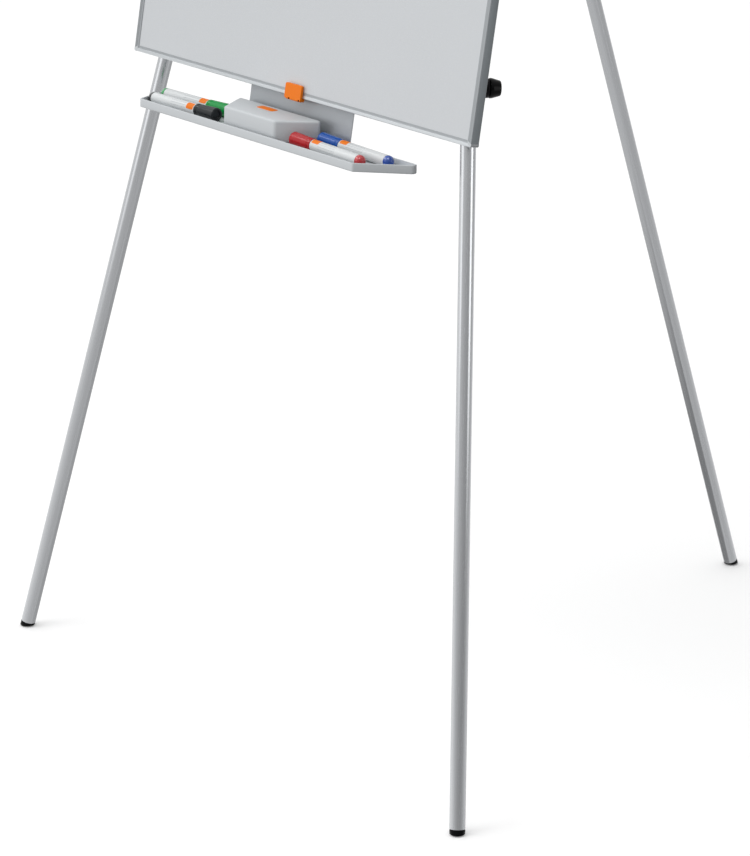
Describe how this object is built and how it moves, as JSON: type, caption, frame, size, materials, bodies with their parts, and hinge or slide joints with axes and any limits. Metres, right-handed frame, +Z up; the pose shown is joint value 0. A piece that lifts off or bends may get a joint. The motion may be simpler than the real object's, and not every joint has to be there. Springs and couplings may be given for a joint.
{
  "type": "flipchart easel",
  "caption": "Tripod flipchart easel: framed writing board on splayed telescopic legs, with a pen tray, markers, an eraser, a pad clamp and sliding pad hooks.",
  "frame": {"origin": "on the floor, halfway between the line of the front feet and the rear foot", "axes": "+X along the board to the writer's right, +Y away from the writer towards the rear leg, +Z up"},
  "size_m": [0.9658, 0.9798, 1.8372],
  "materials": {
    "satin_aluminium": "satin silver tube",
    "rail_aluminium": "satin extruded edge rail",
    "grey_steel": "mid-grey painted sheet steel",
    "zinc_steel": "zinc-plated steel",
    "board_white": "light grey-white enamelled writing surface",
    "core_board": "fibreboard core",
    "light_grey_plastic": "light grey moulded plastic",
    "black_plastic": "black moulded plastic",
    "orange_plastic": "orange moulded plastic",
    "marker_white": "pale grey marker barrel",
    "ink_black": "black plastic",
    "ink_green": "green plastic",
    "ink_red": "red plastic",
    "ink_blue": "blue plastic",
    "grey_felt": "dense grey wiping felt"
  },
  "bodies": {
    "board": {"board_face": "board_white", "board_core": "core_board", "board_back_sheet": "zinc_steel", "left_rail": "rail_aluminium", "right_rail": "rail_aluminium", "top_rail": "rail_aluminium", "bottom_rail": "rail_aluminium", "top_left_corner": "light_grey_plastic", "top_right_corner": "light_grey_plastic", "bottom_left_corner": "light_grey_plastic", "bottom_right_corner": "light_grey_plastic", "left_upper_tube": "satin_aluminium", "right_upper_tube": "satin_aluminium", "left_collar": "black_plastic", "right_collar": "black_plastic", "left_tube_cap": "black_plastic", "right_tube_cap": "black_plastic", "left_lower_tube_clip": "zinc_steel", "left_upper_tube_clip": "zinc_steel", "right_lower_tube_clip": "zinc_steel", "right_upper_tube_clip": "zinc_steel", "head_crossbar": "grey_steel", "rear_clevis": "zinc_steel", "rear_pivot_pin": "zinc_steel", "tray_plate": "grey_steel", "pen_tray": "light_grey_plastic", "rail_clip": "orange_plastic", "hook_rail": "rail_aluminium", "clamp_pin": "zinc_steel", "left_clamp_bracket": "black_plastic", "right_clamp_bracket": "black_plastic"},
    "left_lower_leg": {"left_lower_tube": "satin_aluminium", "left_foot": "black_plastic"},
    "right_lower_leg": {"right_lower_tube": "satin_aluminium", "right_foot": "black_plastic"},
    "rear_upper_leg": {"rear_upper_tube": "satin_aluminium", "rear_leg_head": "black_plastic", "rear_collar": "black_plastic"},
    "rear_lower_leg": {"rear_lower_tube": "satin_aluminium", "rear_foot": "black_plastic"},
    "left_knob": {"left_knob": "black_plastic"},
    "right_knob": {"right_knob": "black_plastic"},
    "rear_knob": {"rear_knob": "black_plastic"},
    "clamp_bar": {"clamp_bar": "rail_aluminium"},
    "left_pad_hook": {"left_pad_hook": "black_plastic"},
    "right_pad_hook": {"right_pad_hook": "black_plastic"},
    "eraser": {"eraser_body": "light_grey_plastic", "eraser_felt": "grey_felt"},
    "black_marker": {"black_marker_plug": "ink_black", "black_marker_barrel": "marker_white", "black_marker_cap": "ink_black"},
    "green_marker": {"green_marker_plug": "ink_green", "green_marker_barrel": "marker_white", "green_marker_cap": "ink_green"},
    "red_marker": {"red_marker_plug": "ink_red", "red_marker_barrel": "marker_white", "red_marker_cap": "ink_red"},
    "blue_marker": {"blue_marker_plug": "ink_blue", "blue_marker_barrel": "marker_white", "blue_marker_cap": "ink_blue"}
  },
  "joints": [
    {"name": "rear_leg_fold", "type": "hinge", "parent": "board", "child": "rear_upper_leg", "pos_m": [0, -0.11839, 1.775], "axis": [-1, 0, 0], "range_deg": [0, 28.63]},
    {"name": "left_leg_slide", "type": "slide", "parent": "board", "child": "left_lower_leg", "axis": [0.1821, 0.1707, 0.9683], "range_m": [0, 0.55]},
    {"name": "right_leg_slide", "type": "slide", "parent": "board", "child": "right_lower_leg", "axis": [-0.1821, 0.1707, 0.9683], "range_m": [0, 0.55]},
    {"name": "rear_leg_slide", "type": "slide", "parent": "rear_upper_leg", "child": "rear_lower_leg", "axis": [0, -0.3195, 0.9476], "range_m": [0, 0.55]},
    {"name": "left_knob_turn", "type": "hinge", "parent": "board", "child": "left_knob", "pos_m": [-0.31351, -0.29718, 0.91212], "axis": [-0.4916, 0.8687, -0.0607], "range_deg": [0, 360]},
    {"name": "right_knob_turn", "type": "hinge", "parent": "board", "child": "right_knob", "pos_m": [0.31351, -0.29718, 0.91212], "axis": [0.4916, 0.8687, -0.0607], "range_deg": [0, 360]},
    {"name": "rear_knob_turn", "type": "hinge", "parent": "rear_upper_leg", "child": "rear_knob", "pos_m": [0, 0.18424, 0.95559], "axis": [0, 0.9476, 0.3195], "range_deg": [0, 360]},
    {"name": "clamp_bar_tilt", "type": "hinge", "parent": "board", "child": "clamp_bar", "pos_m": [0, -0.1987, 1.79807], "axis": [-1, 0, 0], "range_deg": [0, 70]},
    {"name": "left_hook_slide", "type": "slide", "parent": "board", "child": "left_pad_hook", "axis": [1, 0, 0], "range_m": [-0.07, 0.12]},
    {"name": "right_hook_slide", "type": "slide", "parent": "board", "child": "right_pad_hook", "axis": [-1, 0, 0], "range_m": [-0.07, 0.12]},
    {"name": "eraser_lift", "type": "slide", "parent": "board", "child": "eraser", "axis": [0, -0.2205, 0.9754], "range_m": [0, 0.15]},
    {"name": "black_marker_lift", "type": "slide", "parent": "board", "child": "black_marker", "axis": [0, -0.2205, 0.9754], "range_m": [0, 0.12]},
    {"name": "green_marker_lift", "type": "slide", "parent": "board", "child": "green_marker", "axis": [0, -0.2205, 0.9754], "range_m": [0, 0.12]},
    {"name": "red_marker_lift", "type": "slide", "parent": "board", "child": "red_marker", "axis": [0, -0.2205, 0.9754], "range_m": [0, 0.12]},
    {"name": "blue_marker_lift", "type": "slide", "parent": "board", "child": "blue_marker", "axis": [0, -0.2205, 0.9754], "range_m": [0, 0.12]}
  ]
}
